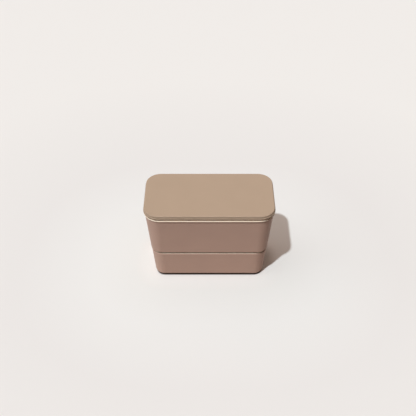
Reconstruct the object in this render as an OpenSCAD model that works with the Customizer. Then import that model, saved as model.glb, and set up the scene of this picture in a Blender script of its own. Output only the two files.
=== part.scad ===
// Two-tier bento lunch box: two drafted containers stacked on each other, each closed by an
// inner lid with a silicone seal, and one outer lid over the top. Millimetres, Z up, X along
// the length, origin on the table under the middle of the box.

/* [Outer lid] */
// Length of the outer lid's top
lid_length = 185; // [175:1:200]
// Width of the outer lid's top
lid_width = 98; // [92:1:110]
// Corner radius of the outer lid in plan
lid_corner_radius = 21.5; // [20:0.5:24]
// Thickness of the outer lid's top plate
lid_plate = 2.2; // [1.6:0.1:3]
// Wall thickness of the outer lid's skirt
lid_wall = 2.2; // [1.8:0.1:2.6]
// Height of the outer lid from the lower edge of its skirt to its top
lid_height = 5.2; // [4.8:0.1:6.6]
// Radius of the rounding round the outer lid's top edge
lid_edge_radius = 1.2; // [0.6:0.1:1.6]
// How far the lip at the lower edge of the skirt stands out
lip_reach = 0.7; // [0.2:0.1:0.9]
// Height of the lip at the lower edge of the skirt
lip_height = 1.9; // [1.4:0.1:2.6]
// Height of the locating rib under the outer lid
locating_rib_height = 3; // [1.5:0.1:4]
// Thickness of the locating rib under the outer lid
locating_rib_wall = 1.6; // [1.2:0.1:2.2]

/* [Containers] */
// How far the outer lid stands out past the upper container's rim on each side
lid_overhang = 1.2; // [0.8:0.1:1.8]
// Slope of the container walls from upright, in degrees
draft_angle = 5.5; // [4:0.1:5.8]
// Corner radius at the upper container's rim
upper_corner_radius = 22; // [21:0.5:24]
// Corner radius at the lower container's rim
lower_corner_radius = 18.5; // [17:0.5:20.5]
// Height of the upper container from its base to its rim
upper_tub_height = 64.9; // [50:0.1:70]
// Height of the lower container from its base to its rim
lower_tub_height = 44.4; // [35:0.1:50]
// Wall thickness of both containers
tub_wall = 2.2; // [1.8:0.1:2.6]
// Floor thickness of both containers
tub_floor = 2.6; // [2:0.1:3.2]
// Radius between wall and floor inside the containers
inner_floor_radius = 7; // [4:0.5:8]
// Radius round the upper container's bottom edge
upper_edge_radius = 1.5; // [1:0.25:3]
// Radius round the lower container's bottom edge
lower_edge_radius = 3; // [1.5:0.25:5]

/* [Feet] */
// Height of the foot ring under the lower container
lower_foot_height = 3.4; // [2:0.1:4]
// Distance of the lower foot ring from the edge of the base
lower_foot_inset = 6; // [5.5:0.1:7]
// Height of the foot ring under the upper container
upper_foot_height = 2.5; // [1.8:0.1:3.4]
// Distance of the upper foot ring from the edge of the base
upper_foot_inset = 5.2; // [4.8:0.1:6]
// Width of both foot rings
foot_width = 2.4; // [1.6:0.1:3]

/* [Inner lids] */
// Thickness of the upper inner lid's flange
upper_flange = 2.3; // [2.3:0.1:3]
// Thickness of the lower inner lid's flange
lower_flange = 1.4; // [1.3:0.1:2]
// How far the upper inner lid's flange stands out past the container's rim
upper_flange_lip = 1.5; // [0.6:0.1:1.7]
// Distance of the lower inner lid's flange from the outside of the container's rim
lower_flange_inset = 1; // [0.6:0.1:1.4]
// Radius round the upper flange's outer edge
upper_flange_radius = 1; // [0.6:0.1:1.1]
// Radius round the lower flange's outer edge
lower_flange_radius = 0.5; // [0.3:0.1:0.6]
// How far the inner lids' plugs reach down into the containers
plug_depth = 6; // [5.4:0.1:8]
// Wall thickness of the plugs
plug_wall = 2.6; // [2.4:0.1:3]
// Thickness of the panel at the bottom of the upper inner lid's tray
tray_panel = 2; // [1.4:0.1:2.4]
// Height of the bead round the tray that carries the outer lid
bead_height = 5.5; // [4.8:0.1:6]
// Thickness of that bead
bead_wall = 2; // [1.6:0.1:2.4]
// Depth of the recess in the lower inner lid that takes the upper container's foot ring
nest_depth = 0.6; // [0.3:0.1:0.7]

/* [Seals] */
// Height of the silicone seals
seal_height = 3; // [2.6:0.1:3.4]
// Depth of the seals' grooves in the plugs
seal_groove = 1.2; // [0.8:0.1:1.4]
// Distance of the seals from the underside of the flanges
seal_drop = 1.2; // [1:0.1:1.6]
// Radius of the two lips round each seal
seal_lip_radius = 0.7; // [0.5:0.05:0.7]

/* [Vent plugs] */
// Place of the vent plugs along the length
vent_place = 52; // [-60:1:60]
// Diameter of the vent holes
vent_hole = 5; // [4:0.1:7]
// Diameter of the vent plugs' caps
vent_cap = 13; // [10:0.1:16]
// Thickness of the vent plugs' caps
vent_cap_height = 1.2; // [0.8:0.1:1.3]
// Diameter of the vent plugs' lower heads
vent_head = 8; // [7.4:0.1:9.5]
// Thickness of the vent plugs' lower heads
vent_head_height = 1.2; // [0.8:0.1:1.4]

/* [Divider] */
// Place of the divider along the length
divider_place = 24; // [-30:1:40]
// Thickness of the divider
divider_thickness = 1.8; // [1.4:0.1:3]
// Width of the grip bead along the divider's top edge
divider_bead = 4; // [3.4:0.1:6]
// Space between the divider's top edge and the inner lid
divider_headroom = 1; // [0.5:0.1:4]

/* [Fits] */
// Vertical gap between stacked pieces
seat_gap = 0.3; // [0.2:0.05:0.4]
// Gap between the inner lids' plugs and the container walls
plug_clearance = 0.8; // [0.6:0.05:1]
// Gap between the seals' lips and the container walls
seal_clearance = 0.25; // [0.15:0.05:0.4]
// Gap between the outer lid and the bead that it fits over
lid_clearance = 0.4; // [0.3:0.05:0.6]
// Gap round the upper container's foot ring in its recess
nest_clearance = 0.5; // [0.3:0.05:0.8]
// Gap between the divider and the container walls
divider_clearance = 0.4; // [0.3:0.05:0.8]
// Gap round the vent plugs' stems
vent_clearance = 0.1; // [0.05:0.05:0.2]

/* [Hidden] */
// Facets of a full circle round the corners, along the rounded edges and on the smallest lips
corner_facets = 40;
edge_facets = 20;
lip_facets = 14;
// Small overlap that joins solids of one piece, and reach of a cut past a surface
joint_overlap = 0.4;
slope = tan(draft_angle);

// Heights of the stack, from the table up
lower_base_z = lower_foot_height;
lower_rim_z = lower_base_z + lower_tub_height;
lower_flange_z = lower_rim_z + seat_gap;
lower_top_z = lower_flange_z + lower_flange;
nest_z = lower_top_z - nest_depth;
upper_foot_z = nest_z + seat_gap;
upper_base_z = upper_foot_z + upper_foot_height;
upper_rim_z = upper_base_z + upper_tub_height;
upper_flange_z = upper_rim_z + seat_gap;
upper_top_z = upper_flange_z + upper_flange;
bead_top_z = upper_top_z + bead_height;
lid_under_z = bead_top_z + seat_gap;
lid_top_z = lid_under_z + lid_plate;
lid_skirt_z = lid_top_z - lid_height;
tray_z = upper_flange_z - plug_depth;

// Half sizes of the upper container's rim, and how far the walls have drawn in at a height
rim_half_length = lid_length / 2 - lid_overhang;
rim_half_width = lid_width / 2 - lid_overhang;
function drawn_in(z) = (upper_rim_z - z) * slope;

// Places of the corner arcs' centres, as [along the length, along the width]
lid_centre = [lid_length / 2 - lid_corner_radius, lid_width / 2 - lid_corner_radius];
upper_centre = [rim_half_length - upper_corner_radius, rim_half_width - upper_corner_radius];
lower_rim_inset = drawn_in(lower_rim_z) + lower_corner_radius;
lower_centre = [rim_half_length - lower_rim_inset, rim_half_width - lower_rim_inset];

// Wall faces, measured outward from the corner arcs' centres
upper_base_x = upper_corner_radius - upper_tub_height * slope;
lower_base_x = lower_corner_radius - lower_tub_height * slope;
upper_foot_x = upper_base_x - upper_foot_inset;
lower_foot_x = lower_base_x - lower_foot_inset;
bead_x = upper_corner_radius + lid_overhang - lid_wall - lid_clearance;
tray_x = upper_corner_radius - tub_wall - plug_clearance - plug_wall;

// Node to draw

// ---- Sweeps round the rounded rectangle ----

// Carries a wall section round a rounded rectangle: quarter turns at the corner arcs' centres
// and straight runs between them. The section's x is measured outward from those centres.
module swept(centre) {
    for (corner = [[1, 1, 0], [-1, 1, 90], [-1, -1, 180], [1, -1, 270]])
        translate([corner[0] * centre[0], corner[1] * centre[1], 0])
            rotate([0, 0, corner[2]])
                rotate_extrude(angle = 90, $fn = corner_facets)
                    children();
    for (side = [0, 180])
        rotate([0, 0, side]) {
            translate([-centre[0], centre[1], 0])
                rotate([90, 0, 90])
                    linear_extrude(height = 2 * centre[0])
                        children();
            translate([centre[0], centre[1], 0])
                rotate([90, 0, 0])
                    linear_extrude(height = 2 * centre[1])
                        children();
        }
}

// Block between the corner arcs' centres, which closes the middle of a swept plate
module middle(centre, low, high) {
    translate([-centre[0], -centre[1], low])
        cube([2 * centre[0], 2 * centre[1], high - low]);
}

// Rectangle of a section, from two distances outward and two heights
module band(from_x, to_x, low, high) {
    translate([from_x, low])
        square([to_x - from_x, high - low]);
}

// Half section of a tub: a floor, a rounded bottom edge and a wall that leans outward
module tub_section(top_x, low, high, edge_radius) {
    low_x = top_x - (high - low) * slope;
    arc_x = low_x + edge_radius * slope - edge_radius / cos(draft_angle);
    arc_z = low + edge_radius;
    polygon([
        [0, low],
        [arc_x, low],
        [arc_x + edge_radius * cos(draft_angle), arc_z - edge_radius * sin(draft_angle)],
        [top_x, high],
        [0, high]
    ]);
    translate([arc_x, arc_z])
        intersection() {
            circle(r = edge_radius, $fn = edge_facets);
            band(0, edge_radius, -edge_radius, 0);
        }
}

// Solid inside a tub section swept round its rounded rectangle
module tub_solid(centre, top_x, low, high, edge_radius) {
    swept(centre)
        tub_section(top_x, low, high, edge_radius);
    middle(centre, low, high);
}

// Open container with its foot ring
module container(centre, rim_x, base_z, rim_z, edge_radius, foot_x, foot_z) {
    difference() {
        tub_solid(centre, rim_x, base_z, rim_z, edge_radius);
        tub_solid(centre, rim_x - tub_wall + joint_overlap * slope, base_z + tub_floor,
                  rim_z + joint_overlap, inner_floor_radius);
    }
    swept(centre)
        band(foot_x - foot_width, foot_x, foot_z, base_z + joint_overlap);
}

// ---- Inner lids and their seals ----

// Flange section with both outer edges rounded
module flange_section(from_x, edge_x, low, high, edge_radius) {
    arc_x = edge_x - edge_radius;
    band(from_x, arc_x, low, high);
    band(arc_x - edge_radius, edge_x, low + edge_radius, high - edge_radius);
    for (z = [low + edge_radius, high - edge_radius])
        translate([arc_x, z])
            circle(r = edge_radius, $fn = lip_facets);
}

// Plug wall that follows the slope of the container's mouth, with the groove of the seal
module plug_section(rim_x, flange_z) {
    mouth_x = rim_x - tub_wall;
    plug_x = mouth_x - plug_clearance;
    low = flange_z - plug_depth;
    seal_top = flange_z - seal_drop;
    difference() {
        polygon([
            [plug_x - plug_wall, low],
            [plug_x - plug_depth * slope, low],
            [plug_x, flange_z],
            [plug_x, flange_z + joint_overlap],
            [plug_x - plug_wall, flange_z + joint_overlap]
        ]);
        band(plug_x - seal_groove, mouth_x, seal_top - seal_height, seal_top);
    }
}

// Silicone ring in the plug's groove, with two lips that bear on the container's wall
module seal(centre, rim_x, flange_z) {
    mouth_x = rim_x - tub_wall;
    groove_x = mouth_x - plug_clearance - seal_groove;
    seal_top = flange_z - seal_drop;
    seal_low = seal_top - seal_height;
    lip_back = seal_clearance + seal_lip_radius;
    swept(centre) {
        band(groove_x, mouth_x - lip_back - plug_depth * slope, seal_low, seal_top);
        for (lip_z = [seal_low + seal_lip_radius, seal_top - seal_lip_radius])
            translate([mouth_x - lip_back - (flange_z - lip_z) * slope, lip_z])
                circle(r = seal_lip_radius, $fn = lip_facets);
    }
}

// Vent hole through an inner lid's panel
module vent_bore(low, high) {
    translate([vent_place, 0, low - joint_overlap])
        cylinder(d = vent_hole, h = high - low + 2 * joint_overlap, $fn = edge_facets);
}

// Silicone vent plug: a cap above the panel, a stem through it and a head below it
module vent_plug(low, high) {
    translate([vent_place, 0, 0]) {
        translate([0, 0, high])
            cylinder(d = vent_cap, h = vent_cap_height, $fn = corner_facets);
        translate([0, 0, low - joint_overlap])
            cylinder(d = vent_hole - 2 * vent_clearance, h = high - low + 2 * joint_overlap,
                     $fn = edge_facets);
        translate([0, 0, low - vent_head_height])
            cylinder(d = vent_head, h = vent_head_height, $fn = edge_facets);
    }
}

// ---- Sub-parts ----

// Cap over the whole box: flat top, soft edge, short skirt with a lip, and a locating rib
module outer_lid() {
    color("#b89e89") {
        swept(lid_centre)
            difference() {
                outer_lid_outline();
                band(0, lid_corner_radius - lid_wall, lid_skirt_z - joint_overlap, lid_under_z);
            }
        middle(lid_centre, lid_under_z, lid_top_z);
        swept(upper_centre)
            band(bead_x - bead_wall - lid_clearance - locating_rib_wall,
                 bead_x - bead_wall - lid_clearance,
                 lid_under_z - locating_rib_height, lid_under_z + joint_overlap);
    }
}

// Outside of the outer lid's section
module outer_lid_outline() {
    arc_x = lid_corner_radius - lid_edge_radius;
    arc_z = lid_top_z - lid_edge_radius;
    lip_x = lid_corner_radius + lip_reach;
    lip_z = lid_skirt_z + lip_height;
    band(0, arc_x, lid_skirt_z, lid_top_z);
    band(arc_x - lid_edge_radius, lid_corner_radius, lid_skirt_z, arc_z);
    translate([arc_x, arc_z])
        circle(r = lid_edge_radius, $fn = edge_facets);
    band(arc_x, lip_x, lid_skirt_z, lip_z - lip_reach);
    translate([lid_corner_radius, lip_z - lip_reach])
        circle(r = lip_reach, $fn = lip_facets);
}

// Sealing lid of the upper container: a tray with a flange and the bead under the outer lid
module upper_inner_lid() {
    color("#ecdcc8")
        difference() {
            union() {
                swept(upper_centre) {
                    band(0, tray_x + joint_overlap, tray_z, tray_z + tray_panel);
                    plug_section(upper_corner_radius, upper_flange_z);
                    flange_section(tray_x, upper_corner_radius + upper_flange_lip, upper_flange_z,
                                   upper_top_z, upper_flange_radius);
                    band(bead_x - bead_wall, bead_x, upper_top_z - joint_overlap, bead_top_z);
                }
                middle(upper_centre, tray_z, tray_z + tray_panel);
            }
            vent_bore(tray_z, tray_z + tray_panel);
        }
}

// Silicone ring round the upper inner lid's plug
module upper_seal() {
    color("#f2efe8")
        seal(upper_centre, upper_corner_radius, upper_flange_z);
}

// Vent plug in the upper inner lid's tray
module upper_vent_plug() {
    color("#f2efe8")
        vent_plug(tray_z, tray_z + tray_panel);
}

// Taller container of the two
module upper_container() {
    color("#bc9887")
        container(upper_centre, upper_corner_radius, upper_base_z, upper_rim_z,
                  upper_edge_radius, upper_foot_x, upper_foot_z);
}

// Loose wall across the upper container, with a thicker top edge to hold it by
module divider() {
    low = upper_base_z + tub_floor + seat_gap;
    high = tray_z - divider_headroom;
    top_x = upper_corner_radius - tub_wall - drawn_in(high) - divider_clearance;
    color("#ecdcc8")
        translate([divider_place, 0, 0]) {
            rotate([90, 0, 90])
                linear_extrude(height = divider_thickness, center = true) {
                    for (side = [0, 1])
                        mirror([side, 0])
                            translate([upper_centre[1], 0])
                                tub_section(top_x, low, high, inner_floor_radius);
                    band(-upper_centre[1], upper_centre[1], low, high);
                }
            translate([0, 0, high - divider_bead / 2])
                rotate([90, 0, 0])
                    cylinder(d = divider_bead, h = 2 * (upper_centre[1] + top_x - divider_bead),
                             center = true, $fn = edge_facets);
        }
}

// Sealing lid of the lower container: a flat lid with a plug ring and a recess for the foot ring
module lower_inner_lid() {
    rim_x = lower_corner_radius;
    color("#ecdcc8")
        difference() {
            union() {
                swept(lower_centre) {
                    plug_section(rim_x, lower_flange_z);
                    flange_section(0, rim_x - lower_flange_inset, lower_flange_z, lower_top_z,
                                   lower_flange_radius);
                }
                middle(lower_centre, lower_flange_z, lower_top_z);
            }
            swept(upper_centre)
                band(0, upper_foot_x + nest_clearance, nest_z, lower_top_z + joint_overlap);
            middle(upper_centre, nest_z, lower_top_z + joint_overlap);
            vent_bore(lower_flange_z, nest_z);
        }
}

// Silicone ring round the lower inner lid's plug
module lower_seal() {
    color("#f2efe8")
        seal(lower_centre, lower_corner_radius, lower_flange_z);
}

// Vent plug in the lower inner lid
module lower_vent_plug() {
    color("#f2efe8")
        vent_plug(lower_flange_z, nest_z);
}

// Shallower container that stands on the table
module lower_container() {
    color("#bc9887")
        container(lower_centre, lower_corner_radius, lower_base_z, lower_rim_z,
                  lower_edge_radius, lower_foot_x, 0);
}

outer_lid();
upper_inner_lid();
upper_seal();
upper_vent_plug();
upper_container();
divider();
lower_inner_lid();
lower_seal();
lower_vent_plug();
lower_container();
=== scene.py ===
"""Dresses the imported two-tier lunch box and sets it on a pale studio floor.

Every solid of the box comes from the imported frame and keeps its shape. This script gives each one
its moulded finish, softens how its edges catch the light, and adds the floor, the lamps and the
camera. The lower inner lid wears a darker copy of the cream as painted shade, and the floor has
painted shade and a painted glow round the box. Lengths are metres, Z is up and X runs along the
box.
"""

import logging
import math
from dataclasses import dataclass
from enum import Enum

import bpy
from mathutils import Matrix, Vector

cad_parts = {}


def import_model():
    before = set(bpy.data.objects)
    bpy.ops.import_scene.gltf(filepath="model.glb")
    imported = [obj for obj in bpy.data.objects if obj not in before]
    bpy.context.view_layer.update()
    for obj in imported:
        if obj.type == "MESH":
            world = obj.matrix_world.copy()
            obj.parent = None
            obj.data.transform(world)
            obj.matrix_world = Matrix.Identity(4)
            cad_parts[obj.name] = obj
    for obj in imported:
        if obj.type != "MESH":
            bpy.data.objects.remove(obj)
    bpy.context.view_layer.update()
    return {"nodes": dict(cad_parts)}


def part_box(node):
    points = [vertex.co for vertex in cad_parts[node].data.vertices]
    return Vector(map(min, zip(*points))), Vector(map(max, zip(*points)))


LOG = logging.getLogger("lunch_box")

Colour = tuple[float, float, float]
Direction = tuple[float, float, float]
Place = tuple[float, float, float]


def linear(red: int, green: int, blue: int) -> Colour:
    """Turns a colour as it is written on screen into linear values, by the sRGB curve.

    Args:
        red: Red from 0 to 255.
        green: Green from 0 to 255.
        blue: Blue from 0 to 255.

    Returns:
        The three linear values, each from 0 to 1.
    """

    def one(value: int) -> float:
        """Linear value of one channel."""
        share = value / 255
        return share / 12.92 if share <= 0.04045 else ((share + 0.055) / 1.055) ** 2.4

    return one(red), one(green), one(blue)


class Tier(Enum):
    """The two storeys of the box, by the first word of their nodes' names."""

    UPPER = "upper"
    LOWER = "lower"


class NodeTree:
    """Short way of adding and joining shader nodes in one tree."""

    def __init__(self, tree: bpy.types.NodeTree) -> None:
        """Keeps the tree and clears what it holds.

        Args:
            tree: The node tree to fill.
        """
        self.tree = tree
        self.tree.nodes.clear()

    def add(self, kind: str, **settings: object) -> bpy.types.Node:
        """Adds a node.

        Args:
            kind: Blender's name of the node type.
            **settings: Node properties to set, by name.

        Returns:
            The new node.
        """
        node = self.tree.nodes.new(kind)
        for name, value in settings.items():
            setattr(node, name, value)
        return node

    def join(self, output: bpy.types.NodeSocket, target: bpy.types.NodeSocket) -> None:
        """Links an output socket to an input socket."""
        self.tree.links.new(output, target)

    def seen(self) -> bpy.types.NodeSocket:
        """Picks the rays that show a surface to the eye, straight or by gloss or glass.

        Returns:
            The socket that is one for such a ray and nought for any other.
        """
        path = self.add("ShaderNodeLightPath")
        straight = self.add("ShaderNodeMath", operation="MAXIMUM")
        self.join(path.outputs["Is Camera Ray"], straight.inputs[0])
        self.join(path.outputs["Is Glossy Ray"], straight.inputs[1])
        shown = self.add("ShaderNodeMath", operation="MAXIMUM")
        self.join(straight.outputs["Value"], shown.inputs[0])
        self.join(path.outputs["Is Transmission Ray"], shown.inputs[1])
        return shown.outputs["Value"]


@dataclass(frozen=True)
class MouldedPlastic:
    """Satin moulded plastic: fine spark-eroded grain, faint mottling and softened edges.

    The mottle is the share by which the colour drifts to either side, and the flow the amount by
    which the roughness does. The sizes are those of one blotch, grain or flow mark. The light
    reach is how far red, green and blue light spread inside a translucent plastic.
    """

    name: str
    colour: Colour
    roughness: float = 0.5
    specular: float = 0.25
    mottle: float = 0.02
    mottle_size: float = 0.035
    mottle_ends: tuple[float, float] = (0.3, 0.7)
    flow: float = 0.04
    flow_size: float = 0.06
    grain_size: float = 0.0007
    grain_depth: float = 0.000012
    grain_strength: float = 0.35
    edge_radius: float = 0.00025
    translucence: float = 0.0
    light_reach: Colour = (0.004, 0.003, 0.002)

    def build(self) -> bpy.types.Material:
        """Makes the material.

        Returns:
            The finished material.
        """
        material = bpy.data.materials.new(self.name)
        material.use_nodes = True
        nodes = NodeTree(material.node_tree)
        shader = nodes.add("ShaderNodeBsdfPrincipled")
        shader.inputs["Specular IOR Level"].default_value = self.specular
        if self.translucence:
            shader.inputs["Subsurface Weight"].default_value = self.translucence
            shader.inputs["Subsurface Radius"].default_value = self.light_reach
            shader.inputs["Subsurface Scale"].default_value = 1.0
        place = nodes.add("ShaderNodeTexCoord")
        self._colour(nodes, place, shader)
        self._roughness(nodes, place, shader)
        self._relief(nodes, place, shader)
        output = nodes.add("ShaderNodeOutputMaterial")
        nodes.join(shader.outputs["BSDF"], output.inputs["Surface"])
        return material

    def _noise(
        self, nodes: NodeTree, place: bpy.types.Node, size: float, detail: float
    ) -> bpy.types.Node:
        """Adds a noise texture in the object's own space.

        Args:
            nodes: The tree to add to.
            place: The texture coordinate node.
            size: Size of one blotch, in metres.
            detail: How many finer layers the noise has.

        Returns:
            The noise node.
        """
        noise = nodes.add("ShaderNodeTexNoise")
        noise.inputs["Scale"].default_value = 1 / size
        noise.inputs["Detail"].default_value = detail
        nodes.join(place.outputs["Object"], noise.inputs["Vector"])
        return noise

    def _colour(
        self, nodes: NodeTree, place: bpy.types.Node, shader: bpy.types.Node
    ) -> None:
        """Mottles the base colour between a slightly darker and a slightly lighter tone.

        Args:
            nodes: The tree to add to.
            place: The texture coordinate node.
            shader: The surface shader that takes the colour.
        """
        noise = self._noise(nodes, place, size=self.mottle_size, detail=3.0)
        ramp = nodes.add("ShaderNodeValToRGB")
        low, high = ramp.color_ramp.elements
        low.position, high.position = self.mottle_ends
        low.color = (*(c * (1 - self.mottle) for c in self.colour), 1)
        high.color = (*(min(1, c * (1 + self.mottle)) for c in self.colour), 1)
        nodes.join(noise.outputs["Fac"], ramp.inputs["Fac"])
        nodes.join(ramp.outputs["Color"], shader.inputs["Base Color"])

    def _roughness(
        self, nodes: NodeTree, place: bpy.types.Node, shader: bpy.types.Node
    ) -> None:
        """Varies the sheen in broad flow marks, as moulded plastic has them.

        Args:
            nodes: The tree to add to.
            place: The texture coordinate node.
            shader: The surface shader that takes the roughness.
        """
        noise = self._noise(nodes, place, size=self.flow_size, detail=2.0)
        spread = nodes.add("ShaderNodeMapRange")
        spread.inputs["To Min"].default_value = self.roughness - self.flow
        spread.inputs["To Max"].default_value = self.roughness + self.flow
        nodes.join(noise.outputs["Fac"], spread.inputs["Value"])
        nodes.join(spread.outputs["Result"], shader.inputs["Roughness"])

    def _relief(
        self, nodes: NodeTree, place: bpy.types.Node, shader: bpy.types.Node
    ) -> None:
        """Adds the fine grain of the mould, and rounds sharp edges for the light.

        Args:
            nodes: The tree to add to.
            place: The texture coordinate node.
            shader: The surface shader that takes the relief.
        """
        grain = self._noise(nodes, place, size=self.grain_size, detail=2.0)
        edges = nodes.add("ShaderNodeBevel", samples=4)
        edges.inputs["Radius"].default_value = self.edge_radius
        bump = nodes.add("ShaderNodeBump")
        bump.inputs["Strength"].default_value = self.grain_strength
        bump.inputs["Distance"].default_value = self.grain_depth
        nodes.join(grain.outputs["Fac"], bump.inputs["Height"])
        nodes.join(edges.outputs["Normal"], bump.inputs["Normal"])
        nodes.join(bump.outputs["Normal"], shader.inputs["Normal"])


LID_PLASTIC = MouldedPlastic(
    name="tan_lid_plastic",
    colour=linear(174, 151, 130),
    roughness=0.55,
    mottle=0.015,
)
CONTAINER_PLASTIC = MouldedPlastic(
    name="taupe_container_plastic",
    colour=linear(196, 163, 147),
    roughness=0.5,
)
CREAM_PLASTIC = MouldedPlastic(
    name="cream_lid_plastic",
    colour=linear(252, 231, 208),
    roughness=0.42,
    mottle=0.01,
    translucence=0.05,
)
# Painted shade: a darker, greyer copy of the cream plastic, worn by the lower inner lid, whose edge
# sits in the shade between the tiers.
SHADED_CREAM_PLASTIC = MouldedPlastic(
    name="shaded_cream_lid_plastic",
    colour=linear(228, 222, 204),
    roughness=0.42,
    mottle=0.01,
)
SILICONE = MouldedPlastic(
    name="white_silicone",
    colour=linear(240, 237, 228),
    roughness=0.6,
    specular=0.3,
    mottle=0.008,
    grain_size=0.0003,
    translucence=0.3,
)


@dataclass
class DressedPart:
    """One sub-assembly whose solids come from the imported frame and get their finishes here.

    All sub-assemblies share one set of finishes, and each finish is made when it is first worn.
    """

    nodes: dict[str, bpy.types.Object]
    finishes: dict[str, bpy.types.Material]

    def coat(self, node: str, finish: MouldedPlastic) -> None:
        """Gives one solid its finish.

        Args:
            node: Name of the solid's node.
            finish: The finish it gets.
        """
        if finish.name not in self.finishes:
            self.finishes[finish.name] = finish.build()
        coats = self.nodes[node].data.materials
        coats.clear()
        coats.append(self.finishes[finish.name])
        LOG.info("%s wears %s", node, finish.name)


@dataclass
class OuterLid(DressedPart):
    """Flat tan lid over the whole box."""

    def dress(self) -> None:
        """Finishes the lid."""
        self.coat("outer_lid", LID_PLASTIC)


@dataclass
class InnerLid(DressedPart):
    """Cream sealing lid of one tier, with its silicone seal and vent plug."""

    tier: Tier = Tier.UPPER
    plastic: MouldedPlastic = CREAM_PLASTIC

    def dress(self) -> None:
        """Finishes the lid and what it carries."""
        self.coat(f"{self.tier.value}_inner_lid", self.plastic)
        self.coat(f"{self.tier.value}_seal", SILICONE)
        self.coat(f"{self.tier.value}_vent_plug", SILICONE)


@dataclass
class Container(DressedPart):
    """Taupe container of one tier."""

    tier: Tier = Tier.UPPER

    def dress(self) -> None:
        """Finishes the container, and the divider that stands in the upper one."""
        self.coat(f"{self.tier.value}_container", CONTAINER_PLASTIC)
        if self.tier is Tier.UPPER:
            self.coat("divider", CREAM_PLASTIC)


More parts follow.
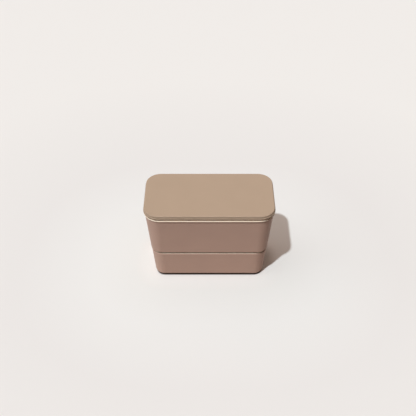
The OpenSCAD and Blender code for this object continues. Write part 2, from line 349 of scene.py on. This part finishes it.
@dataclass(frozen=True)
class StudioFloor:
    """Pale floor that takes the box's shadow, with painted shade and a painted glow round the box.

    The painted shade tones are the colours that show at set distances from the core, which is the
    part of the floor between the middles of the lower container's four corner rounds: a near-black
    painted shadow under the base, then pale tones that paint shade and light by the distance from
    the box. The container's walls lean in round the same middles, so the corner radius is that of
    its rim. A weak painted glow, seen only by the eye, lifts and warms the floor and its shadow; it
    is held back close round the box, which leaves painted shade there, and starts a little way out.
    The bounce colours are what the box itself gets from the floor, near it and far off.
    """

    # Painted shade: a near-black painted shadow under the base, then pale tones that paint shade
    # and light by the distance from the box.
    painted_shade_tones: tuple[tuple[float, Colour], ...] = (
        (0.0115, (0.06, 0.035, 0.03)),
        (0.0135, linear(237, 232, 228)),
        (0.045, linear(230, 232, 230)),
        (0.11, linear(231, 233, 232)),
        (0.22, linear(228, 228, 227)),
        (0.5, linear(234, 234, 232)),
    )
    # Painted glow that lifts and warms the floor and its shadow, and the distances over which it is
    # held back round the box as painted shade.
    painted_glow: float = 0.15
    painted_glow_colour: Colour = (0.86, 0.687, 0.62)
    corner_radius: float = 0.0185
    painted_glow_shift: float = 0.01
    painted_glow_start: float = 0.0225
    painted_glow_full: float = 0.043
    near_bounce: Colour = (0.46, 0.375, 0.32)
    far_bounce: Colour = (0.24, 0.19, 0.17)
    near_reach: float = 0.1
    far_reach: float = 0.35
    half_size: float = 4.0
    drop: float = 0.0002

    def build(self) -> None:
        """Lays the floor just under the foot ring."""
        far = self.half_size
        outline = [(-far, -far, 0), (far, -far, 0), (far, far, 0), (-far, far, 0)]
        mesh = bpy.data.meshes.new("studio_floor")
        mesh.from_pydata(outline, [], [(0, 1, 2, 3)])
        floor = bpy.data.objects.new("studio_floor", mesh)
        floor.location.z = -self.drop
        bpy.context.scene.collection.objects.link(floor)
        mesh.materials.append(self._material())
        LOG.info("studio_floor laid")

    def _material(self) -> bpy.types.Material:
        """Makes the floor's finish: pale to the eye, with painted shade and a painted glow, and a
        weaker bounce onto the box.

        Returns:
            The finished material.
        """
        material = bpy.data.materials.new("pale_floor_painted_shade")
        material.use_nodes = True
        nodes = NodeTree(material.node_tree)
        seen = nodes.seen()
        mix = nodes.add("ShaderNodeMix", data_type="RGBA")
        nodes.join(self._bounce(nodes), mix.inputs["A"])
        nodes.join(self._painted_shade_colour(nodes), mix.inputs["B"])
        nodes.join(seen, mix.inputs["Factor"])
        diffuse = nodes.add("ShaderNodeBsdfDiffuse")
        nodes.join(mix.outputs["Result"], diffuse.inputs["Color"])
        # Painted glow: an emission that only the eye sees, lifting and warming the floor and its
        # shadow; it is held back close round the box, which leaves painted shade there.
        painted_glow = nodes.add("ShaderNodeEmission")
        painted_glow.inputs["Color"].default_value = (*self.painted_glow_colour, 1)
        seen_painted_glow = nodes.add("ShaderNodeMath", operation="MULTIPLY")
        nodes.join(seen, seen_painted_glow.inputs[0])
        nodes.join(self._painted_glow_rise(nodes), seen_painted_glow.inputs[1])
        share = nodes.add("ShaderNodeMath", operation="MULTIPLY")
        nodes.join(seen_painted_glow.outputs["Value"], share.inputs[0])
        share.inputs[1].default_value = self.painted_glow
        blend = nodes.add("ShaderNodeMixShader")
        nodes.join(share.outputs["Value"], blend.inputs["Fac"])
        nodes.join(diffuse.outputs["BSDF"], blend.inputs[1])
        nodes.join(painted_glow.outputs["Emission"], blend.inputs[2])
        output = nodes.add("ShaderNodeOutputMaterial")
        nodes.join(blend.outputs["Shader"], output.inputs["Surface"])
        return material

    def _past_core(self, nodes: NodeTree, shift: float = 0.0) -> bpy.types.NodeSocket:
        """Measures how far a spot on the floor lies from the core.

        Args:
            nodes: The floor's node tree.
            shift: How far the middle of the core moves forward, with its front edge kept.

        Returns:
            The socket with the distance, which is nought all over the core.
        """
        place = nodes.add("ShaderNodeTexCoord")
        centred = nodes.add("ShaderNodeVectorMath", operation="ADD")
        centred.inputs[1].default_value = (0.0, shift, 0.0)
        nodes.join(place.outputs["Object"], centred.inputs[0])
        mirrored = nodes.add("ShaderNodeVectorMath", operation="ABSOLUTE")
        nodes.join(centred.outputs["Vector"], mirrored.inputs[0])
        past = nodes.add("ShaderNodeVectorMath", operation="SUBTRACT")
        _, rim_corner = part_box("lower_container")
        half_length = rim_corner.x - self.corner_radius
        half_width = rim_corner.y - self.corner_radius - shift
        past.inputs[1].default_value = (half_length, half_width, self.half_size)
        nodes.join(mirrored.outputs["Vector"], past.inputs[0])
        outside = nodes.add("ShaderNodeVectorMath", operation="MAXIMUM")
        nodes.join(past.outputs["Vector"], outside.inputs[0])
        away = nodes.add("ShaderNodeVectorMath", operation="LENGTH")
        nodes.join(outside.outputs["Vector"], away.inputs[0])
        return away.outputs["Value"]

    def _painted_shade_colour(self, nodes: NodeTree) -> bpy.types.NodeSocket:
        """Paints shade on the floor by its distance from the core: a painted shadow under the base,
        pale tones beyond it.

        Args:
            nodes: The floor's node tree.

        Returns:
            The socket with the colour that the camera sees.
        """
        reach = self.painted_shade_tones[-1][0]
        share = nodes.add("ShaderNodeMapRange")
        share.inputs["From Max"].default_value = reach
        nodes.join(self._past_core(nodes), share.inputs["Value"])
        ramp = nodes.add("ShaderNodeValToRGB")
        steps = ramp.color_ramp.elements
        while len(steps) < len(self.painted_shade_tones):
            steps.new(1.0)
        for step, (distance, tone) in zip(steps, self.painted_shade_tones):
            step.position = distance / reach
            step.color = (*tone, 1)
        nodes.join(share.outputs["Result"], ramp.inputs["Fac"])
        return ramp.outputs["Color"]

    def _painted_glow_rise(self, nodes: NodeTree) -> bpy.types.NodeSocket:
        """Rises from nought close round the box to one on the open floor, sooner at the back; it
        masks the painted glow, which leaves painted shade close round the box.

        Args:
            nodes: The floor's node tree.

        Returns:
            The socket with the rise.
        """
        rise = nodes.add("ShaderNodeMapRange", interpolation_type="SMOOTHSTEP")
        rise.inputs["From Min"].default_value = self.painted_glow_start
        rise.inputs["From Max"].default_value = self.painted_glow_full
        nodes.join(self._past_core(nodes, self.painted_glow_shift), rise.inputs["Value"])
        return rise.outputs["Result"]

    def _bounce(self, nodes: NodeTree) -> bpy.types.NodeSocket:
        """Fades the floor's bounce with the distance from the box.

        Args:
            nodes: The floor's node tree.

        Returns:
            The socket with the bounce colour.
        """
        place = nodes.add("ShaderNodeTexCoord")
        away = nodes.add("ShaderNodeVectorMath", operation="LENGTH")
        nodes.join(place.outputs["Object"], away.inputs[0])
        share = nodes.add("ShaderNodeMapRange")
        share.inputs["From Min"].default_value = self.near_reach
        share.inputs["From Max"].default_value = self.far_reach
        nodes.join(away.outputs["Value"], share.inputs["Value"])
        blend = nodes.add("ShaderNodeMix", data_type="RGBA")
        blend.inputs["A"].default_value = (*self.near_bounce, 1)
        blend.inputs["B"].default_value = (*self.far_bounce, 1)
        nodes.join(share.outputs["Result"], blend.inputs["Factor"])
        return blend.outputs["Result"]


@dataclass(frozen=True)
class FarLamp:
    """Lamp so far away that its light is even all over the floor.

    The direction leads from the box to the lamp, the spread is the angle that the lamp fills in
    degrees, and the level is what a white face square to it shows.
    """

    name: str
    direction: Direction
    spread: float
    level: float
    colour: Colour

    def build(self) -> None:
        """Adds the lamp and turns it to the box."""
        lamp = bpy.data.lights.new(self.name, "SUN")
        lamp.angle = math.radians(self.spread)
        lamp.energy = self.level * math.pi
        lamp.color = self.colour
        place = Vector(self.direction)
        holder = bpy.data.objects.new(self.name, lamp)
        holder.location = place
        holder.rotation_euler = place.to_track_quat("Z", "Y").to_euler()
        bpy.context.scene.collection.objects.link(holder)
        LOG.info("%s lit", self.name)


@dataclass(frozen=True)
class StudioLight:
    """One hard lamp high at the front left, two soft ones and a weak light from all round."""

    lamps: tuple[FarLamp, ...] = (
        FarLamp(
            name="key_lamp",
            direction=(-0.2551, -0.4046, 0.8796),
            spread=2.0,
            level=0.8,
            colour=(0.942, 1.008, 1.05),
        ),
        FarLamp(
            name="overhead_softbox",
            direction=(-0.173, 0.211, 0.962),
            spread=80.0,
            level=0.248,
            colour=(1.2, 0.96, 0.82),
        ),
        FarLamp(
            name="left_fill",
            direction=(-0.92, -0.2, 0.34),
            spread=60.0,
            level=0.22,
            colour=(0.94, 1.04, 1.07),
        ),
    )
    around: Colour = (0.055, 0.043, 0.034)
    backdrop: Colour = linear(240, 236, 233)

    def build(self) -> None:
        """Adds the lamps and the light from all round."""
        for lamp in self.lamps:
            lamp.build()
        self._surroundings()

    def _surroundings(self) -> None:
        """Lights the box weakly from all round, before a plain pale backdrop."""
        world = bpy.data.worlds.new("surroundings")
        world.use_nodes = True
        bpy.context.scene.world = world
        nodes = NodeTree(world.node_tree)
        light = nodes.add("ShaderNodeBackground")
        light.inputs["Color"].default_value = (*self.around, 1)
        backdrop = nodes.add("ShaderNodeBackground")
        backdrop.inputs["Color"].default_value = (*self.backdrop, 1)
        mix = nodes.add("ShaderNodeMixShader")
        nodes.join(nodes.seen(), mix.inputs["Fac"])
        nodes.join(light.outputs["Background"], mix.inputs[1])
        nodes.join(backdrop.outputs["Background"], mix.inputs[2])
        output = nodes.add("ShaderNodeOutputWorld")
        nodes.join(mix.outputs["Shader"], output.inputs["Surface"])
        LOG.info("surroundings lit")


@dataclass(frozen=True)
class StudioCamera:
    """Camera in front of the box that looks down on it by a set angle, in degrees.

    The lens and the sensor are in millimetres.
    """

    place: Place = (-0.0019, -0.8217, 0.799)
    look_down: float = 40.32
    lens: float = 64.04
    sensor: float = 36.0

    def build(self) -> None:
        """Adds the camera and makes it the scene's own."""
        data = bpy.data.cameras.new("studio_camera")
        data.lens = self.lens
        data.sensor_width = self.sensor
        camera = bpy.data.objects.new("studio_camera", data)
        camera.location = self.place
        camera.rotation_euler = (math.radians(90 - self.look_down), 0, 0)
        bpy.context.scene.collection.objects.link(camera)
        bpy.context.scene.camera = camera
        LOG.info("studio_camera placed")


def main() -> None:
    """Dresses the box piece by piece and sets up the studio."""
    logging.basicConfig(level=logging.INFO, format="%(name)s: %(message)s")
    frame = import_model()
    finishes: dict[str, bpy.types.Material] = {}
    bpy.context.scene.view_settings.view_transform = "Standard"
    StudioCamera().build()
    parts = [
        Container(frame["nodes"], finishes, Tier.LOWER),
        # The lower inner lid wears the painted shade copy of the cream.
        InnerLid(frame["nodes"], finishes, Tier.LOWER, SHADED_CREAM_PLASTIC),
        Container(frame["nodes"], finishes, Tier.UPPER),
        InnerLid(frame["nodes"], finishes, Tier.UPPER),
        OuterLid(frame["nodes"], finishes),
    ]
    for part in parts:
        part.dress()
    StudioFloor().build()
    StudioLight().build()


if __name__ == "__main__":
    main()
